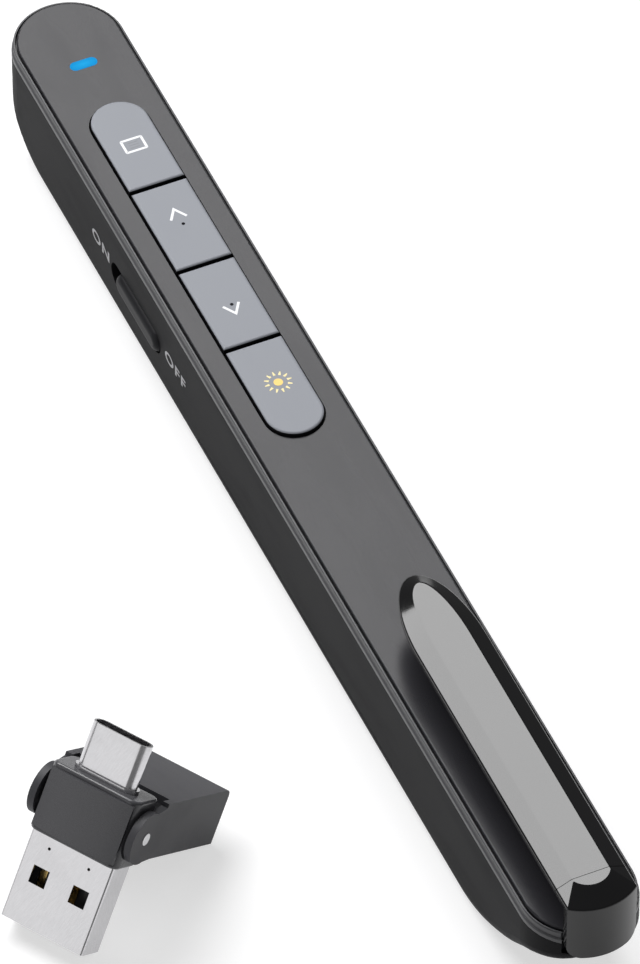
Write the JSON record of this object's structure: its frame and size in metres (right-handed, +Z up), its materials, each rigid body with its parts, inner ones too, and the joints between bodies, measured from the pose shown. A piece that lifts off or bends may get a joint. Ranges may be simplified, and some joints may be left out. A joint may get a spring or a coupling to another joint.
{
  "type": "presentation clicker",
  "caption": "Slim bar-shaped wireless presentation clicker with a raised key strip, side power switch, pocket clip and laser, beside its capped USB receiver standing on the table.",
  "frame": {"origin": "on the flat underside of the bar, midway along its length and width", "axes": "+X out of the nose where the laser leaves, +Y towards the side with the power switch, +Z up through the key face"},
  "size_m": [0.1709, 0.068, 0.0236],
  "materials": {
    "housing_black": "satin black moulded plastic, fine spark texture",
    "rim_grey": "satin dark grey moulded plastic",
    "plate_grey": "satin grey paint over plastic",
    "key_grey": "matte light grey plastic, printed symbols",
    "silicone": "soft grey silicone",
    "board_green": "green solder mask",
    "steel": "plain bright metal",
    "plug_steel": "satin nickel plated steel",
    "chip_black": "matte black moulding",
    "capacitor": "tan ceramic blocks",
    "gold": "gold plating",
    "led_body": "clear resin on a white base",
    "light_pipe_blue": "lit cyan blue light pipe",
    "brass": "turned brass",
    "lens_glass": "clear polished",
    "lead_red": "insulated lead",
    "cell_wrap": "plain printed sleeve with steel ends",
    "clip_gloss": "high gloss black",
    "receiver_gloss": "glossy dark plastic",
    "receiver_matte": "matte dark grey plastic"
  },
  "bodies": {
    "clicker": {"lower_housing": "housing_black", "rim_frame": "rim_grey", "face_plate": "plate_grey", "key_mat": "silicone", "main_board": "board_green", "tact_switches": "steel", "radio_chip": "chip_black", "memory_chip": "chip_black", "crystal": "steel", "chip_antenna": "gold", "board_capacitors": "capacitor", "board_screws": "steel", "status_led": "led_body", "led_light_pipe": "light_pipe_blue", "laser_barrel": "brass", "laser_lens": "lens_glass", "laser_diode": "steel", "laser_board": "board_green", "laser_window": "lens_glass", "laser_leads": "lead_red", "slide_switch_can": "steel", "switch_board": "board_green", "battery_cell": "cell_wrap", "battery_spring": "steel", "spring_plate": "steel", "battery_contact": "steel", "battery_leads": "lead_red", "tail_cap": "clip_gloss"},
    "battery_cover": {"battery_cover": "housing_black"},
    "key_screen": {"key_screen": "key_grey"},
    "key_page_up": {"key_page_up": "key_grey"},
    "key_page_down": {"key_page_down": "key_grey"},
    "key_laser": {"key_laser": "key_grey"},
    "power_switch": {"power_switch_knob": "housing_black", "switch_slider": "chip_black"},
    "clip": {"clip_arm": "clip_gloss"},
    "receiver": {"receiver_collar": "receiver_gloss", "usb_a_shell": "plug_steel", "usb_a_tongue": "chip_black", "usb_a_contacts": "gold", "usb_c_shell": "plug_steel", "usb_c_tongue": "chip_black", "receiver_board": "board_green", "receiver_chip": "chip_black", "cap_pins": "steel"},
    "receiver_cap": {"receiver_cap": "receiver_matte"}
  },
  "joints": [
    {"name": "key_screen_press", "type": "slide", "parent": "clicker", "child": "key_screen", "axis": [0, 0, -1], "range_m": [0, 0.00035], "stiffness_N_per_m": 3000, "springref_m": -0.0002},
    {"name": "key_page_up_press", "type": "slide", "parent": "clicker", "child": "key_page_up", "axis": [0, 0, -1], "range_m": [0, 0.00035], "stiffness_N_per_m": 3000, "springref_m": -0.0002},
    {"name": "key_page_down_press", "type": "slide", "parent": "clicker", "child": "key_page_down", "axis": [0, 0, -1], "range_m": [0, 0.00035], "stiffness_N_per_m": 3000, "springref_m": -0.0002},
    {"name": "key_laser_press", "type": "slide", "parent": "clicker", "child": "key_laser", "axis": [0, 0, -1], "range_m": [0, 0.00035], "stiffness_N_per_m": 3000, "springref_m": -0.0002},
    {"name": "power_switch_slide", "type": "slide", "parent": "clicker", "child": "power_switch", "axis": [1, 0, 0], "range_m": [0, 0.002]},
    {"name": "clip_flex", "type": "hinge", "parent": "clicker", "child": "clip", "pos_m": [-0.081, 0, 0.02205], "axis": [0, -1, 0], "range_deg": [0, 2.5], "stiffness_Nm_per_rad": 1.9, "springref_deg": -0.57},
    {"name": "battery_cover_lift", "type": "slide", "parent": "clicker", "child": "battery_cover", "axis": [0, 0, -1], "range_m": [0, 0.03]},
    {"name": "receiver_lift", "type": "slide", "parent": "clicker", "child": "receiver", "axis": [0, 0, 1], "range_m": [0, 0.06]},
    {"name": "receiver_cap_hinge", "type": "hinge", "parent": "receiver", "child": "receiver_cap", "pos_m": [-0.0415, 0.0476, 0.01423], "axis": [-0.848, -0.5299, 0], "range_deg": [-90, 30]}
  ]
}
